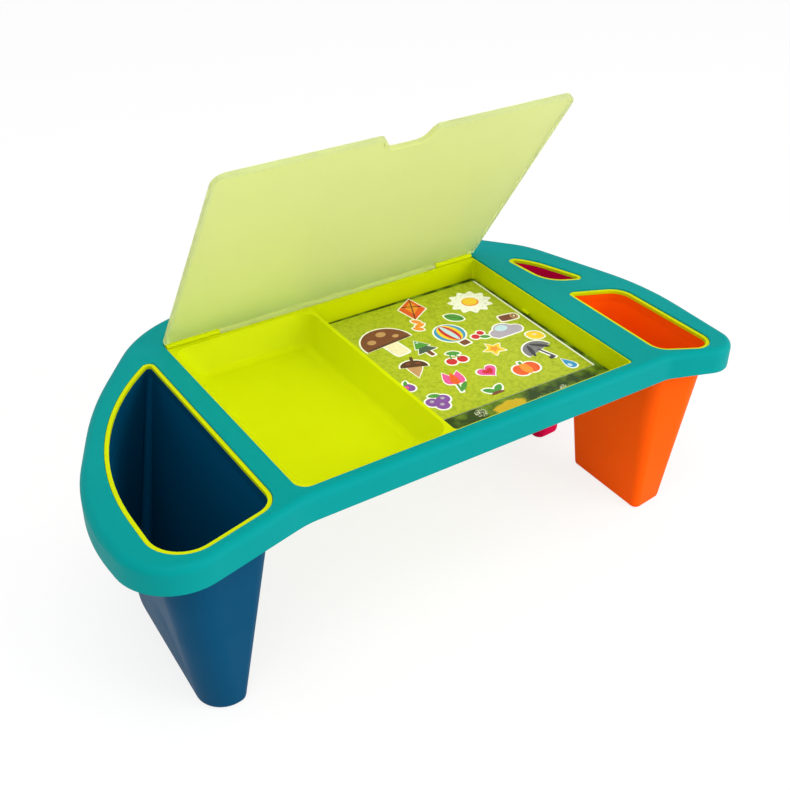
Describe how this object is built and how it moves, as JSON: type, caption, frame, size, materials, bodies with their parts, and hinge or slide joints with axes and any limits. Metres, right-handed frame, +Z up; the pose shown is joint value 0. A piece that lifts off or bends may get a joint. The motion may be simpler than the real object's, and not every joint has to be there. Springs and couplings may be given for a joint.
{
  "type": "lap desk with lift lid",
  "caption": "Lap desk on three tapered storage bins, with a tray of compartments under a hinged lid with a finger notch",
  "frame": {"origin": "middle of the footprint, on the table", "axes": "+X along the length to the user's right, +Y to the rear where the lid hinges, +Z up"},
  "size_m": [0.5348, 0.2942, 0.3569],
  "materials": {
    "teal_plastic": "moulded polypropylene, soft gloss",
    "lime_plastic": "moulded polypropylene, soft gloss",
    "blue_plastic": "moulded polypropylene, soft gloss",
    "orange_plastic": "moulded polypropylene, soft gloss",
    "magenta_plastic": "moulded polypropylene, soft gloss",
    "frosted_lime": "frosted translucent polypropylene, matt",
    "pin_steel": "drawn steel pin",
    "screw_steel": "zinc plated steel",
    "printed_card": "coated printed card",
    "white_paper": "white paper",
    "sticker_paper": "printed sticker paper"
  },
  "bodies": {
    "desk": {"top_frame": "teal_plastic", "storage_tray": "lime_plastic", "left_cup": "blue_plastic", "front_right_cup": "orange_plastic", "rear_right_cup": "magenta_plastic", "hinge_pin_left": "pin_steel", "hinge_pin_right": "pin_steel", "cup_screws": "screw_steel", "tray_screws": "screw_steel", "activity_board": "printed_card", "second_sheet": "white_paper", "sticker_sheet": "sticker_paper"},
    "lid": {"lift_lid": "frosted_lime"}
  },
  "joints": [
    {"name": "lid_hinge", "type": "hinge", "parent": "desk", "child": "lid", "pos_m": [0.01632, 0.09949, 0.1674], "axis": [-1, 0, 0], "range_deg": [-57.7, 37.3]}
  ]
}
